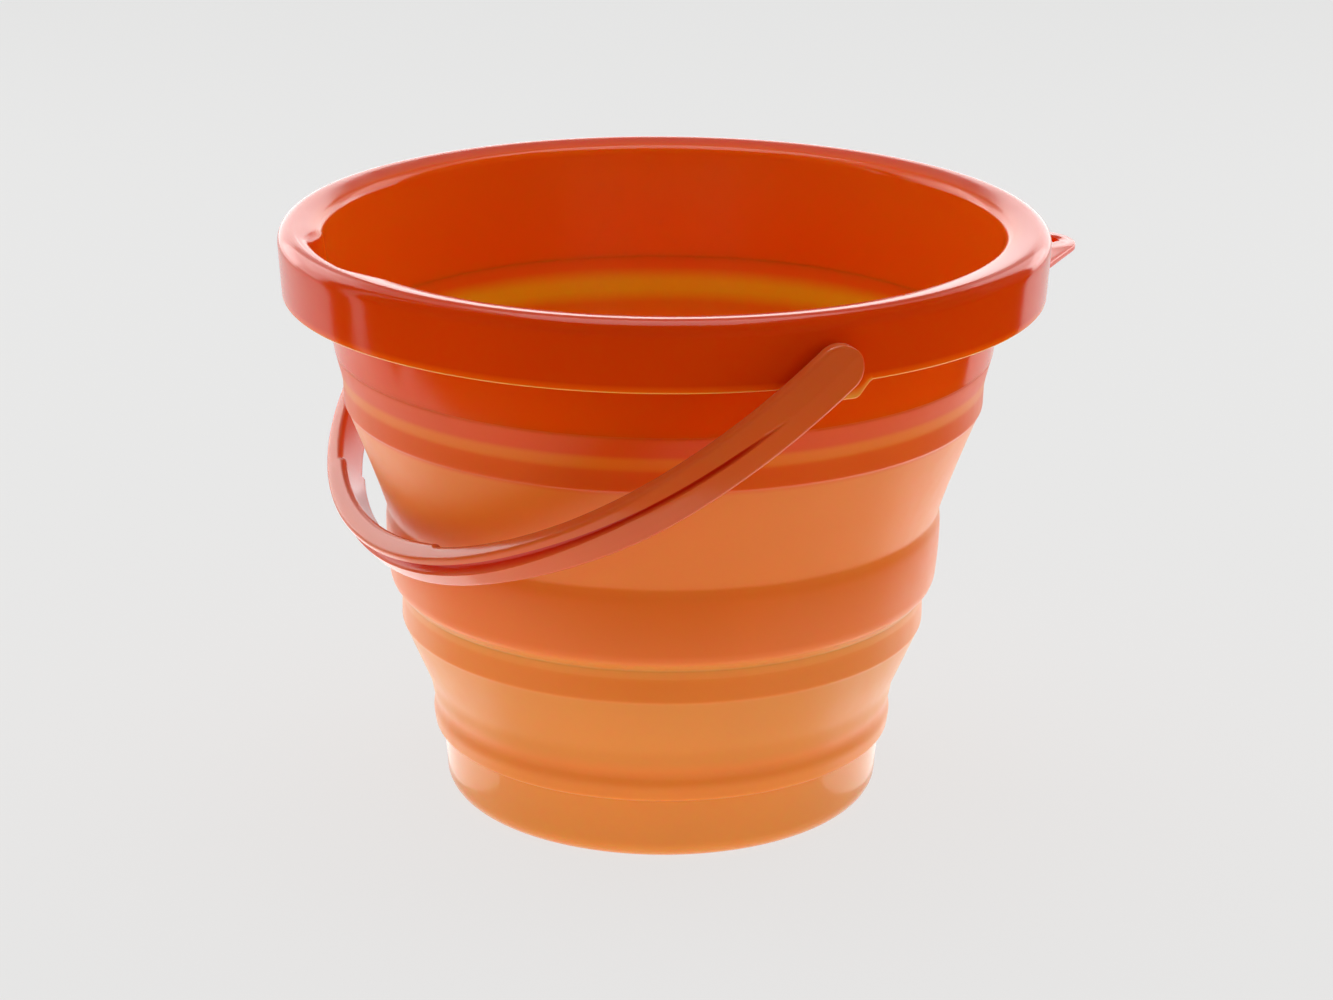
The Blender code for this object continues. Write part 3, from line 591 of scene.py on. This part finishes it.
def bail_handle(look):
    reach_axis = np.array([0.0, -cos(HANDLE_TILT), -sin(HANDLE_TILT)])
    width_axis = np.array([0.0, -sin(HANDLE_TILT), cos(HANDLE_TILT)])
    span_axis = np.array([1.0, 0.0, 0.0])
    pivot = np.array([0.0, 0.0, PIVOT_HEIGHT])
    angles, goals, whole = bow_angles(320)
    stations = []
    near = 0.002
    for angle, along in zip(angles, goals):
        here = bow_point(angle)
        gap = bow_point(min(angle + near, pi)) - bow_point(max(angle - near, 0.0))
        if angle < near:
            out = np.array([1.0, 0.0])
        elif angle > pi - near:
            out = np.array([-1.0, 0.0])
        else:
            out = np.array([gap[1], -gap[0]])
            out = out / np.linalg.norm(out)
            out = out if out @ here > 0 else -out
        stations.append((here, out, along, 1.0))
    # Past each pivot the arm narrows along a half circle
    for turn in np.linspace(0.0, radians(87.0), 19)[1:]:
        past = np.array([0.0, -ARM_WIDTH / 2.0 * sin(turn)])
        stations.insert(0, (bow_point(0.0) + past, np.array([1.0, 0.0]), 0.0, cos(turn)))
        stations.append((bow_point(pi) + past, np.array([-1.0, 0.0]), 0.0, cos(turn)))
    rings, shades = [], []
    for here, out, along, fill in stations:
        section, shade = handle_section(along, whole, fill)
        shades.append(shade)
        flat = here[None, :] + out[None, :] * section[:, :1]
        place = flat[:, :1] * span_axis + flat[:, 1:2] * reach_axis + section[:, 1:2] * width_axis
        rings.append(pivot + place)
    made = face_out(grid_mesh("bail", np.array(rings), close_around=False, caps=True, sharp=40.0))
    # Painted shade: the groove depth darkens the handle's colour
    store(made, "depth", np.concatenate(shades))
    made.data.materials.append(look)
    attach(made, "handle")
    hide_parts("bail_handle")
    return made


def pivots(collar_look, bail_look):
    """A boss on either side of the collar, and the handle's snap stud in it."""
    wall = RIM_RADIUS - SKIRT_DRAFT - COLLAR_WALL
    root = wall + COLLAR_WALL / 2.0
    face = RIM_RADIUS + BOSS_HEIGHT
    head = wall - 0.0005
    end = head - STUD_HEAD_THICKNESS
    boss = [
        (root, BOSS_RADIUS), (face - 0.0005, BOSS_RADIUS),
        (face - 0.0001, BOSS_RADIUS - 0.0002), (face, BOSS_RADIUS - 0.0006),
        (face, STUD_HOLE_RADIUS), (root, STUD_HOLE_RADIUS),
    ]
    stud = [
        (face + 0.0015, STUD_RADIUS), (head, STUD_RADIUS), (head, STUD_HEAD_RADIUS),
        (end + STUD_HEAD_BEVEL, STUD_HEAD_RADIUS), (end, STUD_HEAD_RADIUS - 0.0012), (end, 0.0),
    ]
    for side, word in ((1.0, "right"), (-1.0, "left")):
        turned_x(word + "_boss", side, boss, 64, collar_look, "collar")
        turned_x(word + "_stud", side, stud, 48, bail_look, "handle")


# Materials; the soft wall's colours go by height at rest and carry painted light and shade

# Collar colours: the plastic's own colour at 0, painted glow of light through the inner wall at 0.6,
# a painted bright line on the skirt's bottom edge at 1
COLLAR_COLOURS = [
    (0.0, (0.82, 0.066, 0.001)),
    (0.6, (0.98, 0.140, 0.002)),
    (1.0, (1.00, 0.420, 0.060)),
]
# The base: the collar's plastic painted paler orange, painted light from the table below
BASE_COLOURS = [(0.0, (0.80, 0.260, 0.022)), (1.0, (0.82, 0.280, 0.024))]
# Outside colours by rest height: painted light and shade, paler low down where the table lights the
# wall from below and in the thin groove that lets light through, deeper in the upper bands
SOFT_COLOURS = [
    (0.0288, (0.87, 0.260, 0.016)),
    (0.0420, (0.87, 0.240, 0.016)),
    (0.0470, (0.82, 0.270, 0.024)),
    (0.0770, (0.82, 0.270, 0.024)),
    (0.0790, (0.89, 0.250, 0.017)),
    (0.0875, (0.89, 0.250, 0.017)),
    (0.0900, (0.90, 0.290, 0.026)),
    (0.0950, (0.90, 0.270, 0.022)),
    (0.0985, (0.89, 0.200, 0.012)),
    (0.1230, (0.89, 0.195, 0.012)),
    (0.1320, (0.89, 0.235, 0.015)),
    (0.1740, (0.89, 0.235, 0.013)),
    (0.1765, (0.88, 0.130, 0.002)),
    (0.1845, (0.88, 0.130, 0.002)),
    (0.1862, (0.91, 0.215, 0.007)),
    (0.1895, (0.91, 0.215, 0.007)),
    (0.1915, (0.86, 0.100, 0.001)),
    (0.2000, (0.86, 0.100, 0.001)),
]
# Inside colours by rest height: painted glow, brightest in the ring behind the thin groove where
# light shines through
SOFT_INSIDE_COLOURS = [
    (0.0288, (0.98, 0.260, 0.006)),
    (0.1740, (1.00, 0.240, 0.003)),
    (0.1795, (1.00, 0.260, 0.003)),
    (0.1852, (1.00, 0.560, 0.008)),
    (0.1892, (1.00, 0.540, 0.008)),
    (0.1955, (0.98, 0.160, 0.002)),
    (0.2000, (0.98, 0.140, 0.002)),
]


def node_material(name):
    made = bpy.data.materials.new(name)
    made.use_nodes = True
    tree = made.node_tree
    return made, tree, tree.nodes["Principled BSDF"]


def ramp(tree, source, stops):
    """A colour ramp from (place, colour) rows."""
    node = tree.nodes.new("ShaderNodeValToRGB")
    element = node.color_ramp.elements
    while len(element) < len(stops):
        element.new(0.5)
    for item, (place, colour) in zip(element, stops):
        item.position = place
        item.color = (*colour, 1.0)
    tree.links.new(source, node.inputs["Fac"])
    return node.outputs["Color"]


def ranged(tree, source, low, high, to_low, to_high):
    node = tree.nodes.new("ShaderNodeMapRange")
    node.inputs["From Min"].default_value = low
    node.inputs["From Max"].default_value = high
    node.inputs["To Min"].default_value = to_low
    node.inputs["To Max"].default_value = to_high
    tree.links.new(source, node.inputs["Value"])
    return node.outputs["Result"]


def noise(tree, scale, detail=3.0, roughness=0.5):
    place = tree.nodes.new("ShaderNodeTexCoord")
    node = tree.nodes.new("ShaderNodeTexNoise")
    node.inputs["Scale"].default_value = scale
    node.inputs["Detail"].default_value = detail
    node.inputs["Roughness"].default_value = roughness
    tree.links.new(place.outputs["Object"], node.inputs["Vector"])
    return node.outputs["Fac"]


def bumped(tree, shader, source, distance, strength=1.0):
    node = tree.nodes.new("ShaderNodeBump")
    node.inputs["Distance"].default_value = distance
    node.inputs["Strength"].default_value = strength
    tree.links.new(source, node.inputs["Height"])
    tree.links.new(node.outputs["Normal"], shader.inputs["Normal"])


def stored(tree, name):
    node = tree.nodes.new("ShaderNodeAttribute")
    node.attribute_name = name
    return node.outputs["Fac"]


def clouded(tree, colour, scale, low=0.96, high=1.04):
    """The colour, a little lighter and darker in soft clouds."""
    level = ranged(tree, noise(tree, scale, 2.0), 0.3, 0.7, low, high)
    node = tree.nodes.new("ShaderNodeVectorMath")
    node.operation = "SCALE"
    tree.links.new(colour, node.inputs[0])
    tree.links.new(level, node.inputs["Scale"])
    return node.outputs["Vector"]


def scattering(shader, radius, scale):
    shader.inputs["Subsurface Weight"].default_value = 1.0
    shader.inputs["Subsurface Radius"].default_value = radius
    shader.inputs["Subsurface Scale"].default_value = scale


def sheen(shader, weight):
    """The pale bloom of a moulded surface seen along its edges."""
    shader.inputs["Sheen Weight"].default_value = weight
    shader.inputs["Sheen Roughness"].default_value = 0.30


def hard_look(name, stops, bloom=0.0):
    """Glossy moulded polypropylene, with painted glow: where a stored mask is high, a more orange
    colour stands in for light through thin walls and along the skirt's edge.
    """
    made, tree, shader = node_material(name)
    colour = clouded(tree, ramp(tree, stored(tree, "painted_glow"), stops), 9.0)
    tree.links.new(colour, shader.inputs["Base Color"])
    rough = ranged(tree, noise(tree, 60.0), 0.3, 0.7, 0.10, 0.15)
    tree.links.new(rough, shader.inputs["Roughness"])
    shader.inputs["IOR"].default_value = 1.49
    scattering(shader, (1.0, 0.20, 0.04), 0.0020)
    sheen(shader, bloom)
    bumped(tree, shader, noise(tree, 420.0, 2.0), 0.00001)
    return made


def handle_look():
    """Satin moulded polypropylene, with painted shade: a deeper red colour in the groove."""
    made, tree, shader = node_material("satin_polypropylene")
    # Painted shade: deeper red where the groove is deep
    stops = [(0.0, (0.80, 0.140, 0.024)), (0.9, (0.72, 0.030, 0.003))]
    colour = clouded(tree, ramp(tree, stored(tree, "depth"), stops), 14.0)
    tree.links.new(colour, shader.inputs["Base Color"])
    rough = ranged(tree, noise(tree, 40.0), 0.3, 0.7, 0.15, 0.19)
    tree.links.new(rough, shader.inputs["Roughness"])
    shader.inputs["IOR"].default_value = 1.49
    scattering(shader, (1.0, 0.22, 0.05), 0.0006)
    sheen(shader, 0.10)
    bumped(tree, shader, noise(tree, 600.0, 2.0), 0.000008)
    return made


def soft_look():
    """Satin translucent elastomer; its colours are painted light and shade: paler bands and a
    painted glow inside where thin folds let light through or the table lights them from below,
    deeper colour elsewhere.
    """
    made, tree, shader = node_material("satin_elastomer")
    low, high = SOFT_COLOURS[0][0], SOFT_COLOURS[-1][0]
    place = ranged(tree, stored(tree, "rest_height"), low, high, 0.0, 1.0)
    stops = [((z - low) / (high - low), colour) for z, colour in SOFT_COLOURS]
    # The inner surface's colours, a painted glow
    painted_inside_glow = [((z - low) / (high - low), colour) for z, colour in SOFT_INSIDE_COLOURS]
    sides = tree.nodes.new("ShaderNodeMix")
    sides.data_type = "RGBA"
    tree.links.new(stored(tree, "inside"), sides.inputs["Factor"])
    tree.links.new(ramp(tree, place, stops), sides.inputs["A"])
    tree.links.new(ramp(tree, place, painted_inside_glow), sides.inputs["B"])
    colour = clouded(tree, sides.outputs["Result"], 11.0)
    tree.links.new(colour, shader.inputs["Base Color"])
    rough = ranged(tree, noise(tree, 120.0), 0.3, 0.7, 0.36, 0.42)
    smooth = ranged(tree, stored(tree, "inside"), 0.0, 1.0, 1.0, 0.40)
    tree.links.new(math_node(tree, "MULTIPLY", rough, smooth), shader.inputs["Roughness"])
    shader.inputs["IOR"].default_value = 1.50
    scattering(shader, (1.0, 0.34, 0.08), 0.0018)
    sheen(shader, 0.32)
    bumped(tree, shader, noise(tree, 700.0, 2.0), 0.000010)
    return made


# Stage

PHOTO_SIZE = (1333.0, 1000.0)
FOCAL_PIXELS = 3421.3
VIEW_AZIMUTH = radians(66.8)
VIEW_PITCH = radians(18.74)
CAMERA_ROLL = radians(0.4)
CAMERA_DISTANCE = 1.400
CAMERA_HEIGHT = 0.6024
CAMERA_ASIDE = 0.0016
BACKDROP = (0.800, 0.800, 0.796)
FLOOR_HALF_WIDTH = 7.0
FLOOR_GLOW_SHARE = 0.85
TABLE_COLOUR = (0.846, 0.846, 0.842)
TABLE_NEAR = 0.22
TABLE_FAR = 0.55
TABLE_GLOW = 1.45
TABLE_DARK = 0.40
WORLD_STOPS = [
    (0.0, (0.55, 0.55, 0.55)),
    (0.50, (0.72, 0.72, 0.72)),
    (0.60, (0.72, 0.72, 0.72)),
    (0.75, (0.45, 0.45, 0.45)),
    (1.0, (0.25, 0.25, 0.25)),
]
# Cards, in metres to the right and towards the camera; tables are (left, right, front, back)
LEFT_CARDS = [
    ((-0.33, 0.30), (-0.50, 0.12)),
    ((-0.50, 0.12), (-0.55, 0.04)),
    ((-0.55, -0.01), (-0.55, -0.12)),
]
RIGHT_CARDS = [
    ((0.30, 0.30), (0.37, 0.12)),
    ((0.37, 0.12), (0.47, -0.25)),
]
FRONT_CARD = ((-0.33, 0.30), (0.30, 0.30))
CARD_TOP = 1.60
CEILING_HEIGHT = 1.30
CEILING_NEAR = -0.75
CEILING_FAR = -4.20
CEILING_HALF_WIDTH = 0.60
CEILING_GLOW = 0.25
SCREEN_BACK = -1.60
SCREEN_HALF_WIDTH = 1.90
SCREEN_TOP = 0.84
SCREEN_GLOW = 2.00
LEFT_SCREEN_TURN = 0.40
LEFT_SCREEN_TOP = 1.50
LEFT_SCREEN_GLOW = 1.60
CARD_BOTTOM = 0.0005
TABLE_CARD_HEIGHT = 0.0008
TABLE_CARD_GLOW = 1.55
TABLE_CARDS = [
    (-0.32, -0.10, -0.02, -0.40),
    (-0.10, 0.10, -0.10, -0.40),
    (0.10, 0.32, -0.02, -0.40),
    (-0.16, -0.10, 0.06, -0.02),
    (0.10, 0.16, 0.06, -0.02),
]


def camera():
    lens = bpy.data.cameras.new("camera")
    lens.sensor_width = 36.0
    lens.lens = FOCAL_PIXELS * lens.sensor_width / PHOTO_SIZE[0]
    made = bpy.data.objects.new("camera", lens)
    bpy.context.scene.collection.objects.link(made)
    back = Vector((sin(VIEW_AZIMUTH), -cos(VIEW_AZIMUTH), 0.0))
    right = Vector((cos(VIEW_AZIMUTH), sin(VIEW_AZIMUTH), 0.0))
    made.location = back * CAMERA_DISTANCE + right * CAMERA_ASIDE + Vector((0.0, 0.0, CAMERA_HEIGHT))
    turn = Euler((pi / 2.0 - VIEW_PITCH, 0.0, VIEW_AZIMUTH)).to_matrix()
    made.rotation_euler = (turn @ Matrix.Rotation(CAMERA_ROLL, 3, "Z")).to_euler()
    bpy.context.scene.camera = made


def is_seen(tree):
    """One for rays that show the backdrop: camera, glossy and transmission rays."""
    path = tree.nodes.new("ShaderNodeLightPath")
    kinds = path.outputs
    direct = math_node(tree, "MAXIMUM", kinds["Is Camera Ray"], kinds["Is Transmission Ray"])
    return math_node(tree, "MAXIMUM", direct, kinds["Is Glossy Ray"])


def math_node(tree, operation, *values):
    """A math node; each value is a number or a socket."""
    node = tree.nodes.new("ShaderNodeMath")
    node.operation = operation
    for i, value in enumerate(values):
        if isinstance(value, (int, float)):
            node.inputs[i].default_value = value
        else:
            tree.links.new(value, node.inputs[i])
    return node.outputs[0]


def frontness(tree):
    """How far a point on the floor lies towards the front of the set, in metres."""
    place = tree.nodes.new("ShaderNodeNewGeometry")
    along = tree.nodes.new("ShaderNodeVectorMath")
    along.operation = "DOT_PRODUCT"
    along.inputs[1].default_value = (sin(VIEW_AZIMUTH), -cos(VIEW_AZIMUTH), 0.0)
    tree.links.new(place.outputs["Position"], along.inputs[0])
    return along.outputs["Value"]


def floor():
    """A pale table top that glows softly round the object and falls off towards the front."""
    far = FLOOR_HALF_WIDTH
    mesh = bpy.data.meshes.new("floor")
    corners = [(-far, -far, 0), (far, -far, 0), (far, far, 0), (-far, far, 0)]
    mesh.from_pydata(corners, [], [(0, 1, 2, 3)])
    made = bpy.data.objects.new("floor", mesh)
    bpy.context.scene.collection.objects.link(made)
    look, tree, shader = node_material("pale_floor")
    look.cycles.emission_sampling = "NONE"
    shader.inputs["Base Color"].default_value = (0.78, 0.78, 0.776, 1.0)
    shader.inputs["Roughness"].default_value = 0.9
    shader.inputs["Specular IOR Level"].default_value = 0.0
    seen = is_seen(tree)
    table = ranged(tree, frontness(tree), TABLE_NEAR, TABLE_FAR, TABLE_GLOW, TABLE_DARK)
    lit = math_node(tree, "MULTIPLY", table, math_node(tree, "SUBTRACT", 1.0, seen))
    level = math_node(tree, "ADD", lit, seen)
    glow = tree.nodes.new("ShaderNodeEmission")
    glow.inputs["Color"].default_value = (*TABLE_COLOUR, 1.0)
    tree.links.new(level, glow.inputs["Strength"])
    mix = tree.nodes.new("ShaderNodeMixShader")
    mix.inputs["Fac"].default_value = FLOOR_GLOW_SHARE
    tree.links.new(shader.outputs["BSDF"], mix.inputs[1])
    tree.links.new(glow.outputs["Emission"], mix.inputs[2])
    tree.links.new(mix.outputs["Shader"], tree.nodes["Material Output"].inputs["Surface"])
    mesh.materials.append(look)


def card(name, corners, glow):
    """A card that only reflections see. The corners are (to the right, towards the camera, up)."""
    back = Vector((sin(VIEW_AZIMUTH), -cos(VIEW_AZIMUTH), 0.0))
    right = Vector((cos(VIEW_AZIMUTH), sin(VIEW_AZIMUTH), 0.0))
    up = Vector((0.0, 0.0, 1.0))
    mesh = bpy.data.meshes.new(name)
    places = [tuple(right * x + back * y + up * z) for x, y, z in corners]
    mesh.from_pydata(places, [], [(0, 1, 2, 3)])
    made = bpy.data.objects.new(name, mesh)
    bpy.context.scene.collection.objects.link(made)
    look, _, shader = node_material(name)
    shader.inputs["Base Color"].default_value = (0.004, 0.004, 0.004, 1.0)
    shader.inputs["Roughness"].default_value = 0.9
    shader.inputs["Specular IOR Level"].default_value = 0.0
    shader.inputs["Emission Color"].default_value = (1.0, 1.0, 1.0, 1.0)
    shader.inputs["Emission Strength"].default_value = glow
    mesh.materials.append(look)
    made.visible_camera = False
    made.visible_diffuse = False
    made.visible_transmission = False
    made.visible_shadow = False


def upright(name, first, last, low, high, glow):
    """An upright card between two (to the right, towards the camera) places."""
    card(name, [(*first, low), (*last, low), (*last, high), (*first, high)], glow)


def cards():
    """Dark cards in front, at the sides and overhead, bright ones low at the back and beside."""
    for i, (first, last) in enumerate([FRONT_CARD] + LEFT_CARDS + RIGHT_CARDS):
        upright("black_card_" + str(i + 1), first, last, CARD_BOTTOM, CARD_TOP, 0.0)
    x, z = CEILING_HALF_WIDTH, CEILING_HEIGHT
    card("ceiling_card", [
        (-x, CEILING_NEAR, z), (x, CEILING_NEAR, z), (x, CEILING_FAR, z), (-x, CEILING_FAR, z),
    ], CEILING_GLOW)
    x = SCREEN_HALF_WIDTH
    upright("back_screen", (-x, SCREEN_BACK), (x, SCREEN_BACK), CARD_BOTTOM, SCREEN_TOP, SCREEN_GLOW)
    for i, (left, right, front, back) in enumerate(TABLE_CARDS):
        places = [(left, front), (right, front), (right, back), (left, back)]
        corners = [(*place, TABLE_CARD_HEIGHT) for place in places]
        card("table_card_" + str(i + 1), corners, TABLE_CARD_GLOW)
    near, far = (-x, SCREEN_BACK + LEFT_SCREEN_TURN), (-x / 2.0, SCREEN_BACK)
    upright("left_screen", near, far, SCREEN_TOP, LEFT_SCREEN_TOP, LEFT_SCREEN_GLOW)


def world():
    made = bpy.data.worlds.new("studio")
    bpy.context.scene.world = made
    made.use_nodes = True
    tree = made.node_tree
    back = tree.nodes["Background"]
    place = tree.nodes.new("ShaderNodeTexCoord")
    split = tree.nodes.new("ShaderNodeSeparateXYZ")
    tree.links.new(place.outputs["Generated"], split.inputs[0])
    level = ramp(tree, ranged(tree, split.outputs["Z"], -1.0, 1.0, 0.0, 1.0), WORLD_STOPS)
    seen = is_seen(tree)
    mix = tree.nodes.new("ShaderNodeMix")
    mix.data_type = "RGBA"
    tree.links.new(seen, mix.inputs["Factor"])
    tree.links.new(level, mix.inputs["A"])
    mix.inputs["B"].default_value = (*BACKDROP, 1.0)
    tree.links.new(mix.outputs["Result"], back.inputs["Color"])
    back.inputs["Strength"].default_value = 1.0


def lamp(name, azimuth, height, distance, size, power, aim=(0.0, 0.0, 0.15)):
    """A soft rectangular lamp. The azimuth counts from the camera's side, to its right."""
    light = bpy.data.lights.new(name, "AREA")
    light.shape = "RECTANGLE"
    light.size, light.size_y = size
    light.energy = power
    made = bpy.data.objects.new(name, light)
    bpy.context.scene.collection.objects.link(made)
    turn = VIEW_AZIMUTH + radians(azimuth)
    made.location = (distance * sin(turn), -distance * cos(turn), height)
    made.rotation_euler = (Vector(aim) - made.location).to_track_quat("-Z", "Y").to_euler()
    made.visible_camera = False
    return made


def lights():
    """A lamp overhead and one behind the object on either side."""
    lamp("top_light", 180.0, 2.0, 0.3, (1.4, 1.4), 8.0)
    for word, azimuth in (("left", -126.0), ("right", 126.0)):
        lamp(word + "_light", azimuth, 0.80, 1.6, (1.3, 1.2), 5.5)


def build():
    bpy.context.scene.view_settings.view_transform = "Standard"
    hard = hard_look("glossy_polypropylene", COLLAR_COLOURS)
    foot = hard_look("glossy_base_polypropylene", BASE_COLOURS, 0.32)
    bail, soft = handle_look(), soft_look()
    upper = soft_wall("upper_wall", UPPER_LINE, UPPER_INSIDE, soft, UPPER_KEY)
    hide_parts("upper_band", "upper_cone", "mid_band")
    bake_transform(upper)
    lower = soft_wall("lower_wall", LOWER_LINE, LOWER_INSIDE, soft)
    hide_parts("lower_cone", "lower_band")
    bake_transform(lower)
    rim_collar(hard)
    hanging_tab(hard)
    base_cup(foot)
    bail_handle(bail)
    pivots(hard, bail)
    camera()
    floor()
    cards()
    world()
    lights()


build()
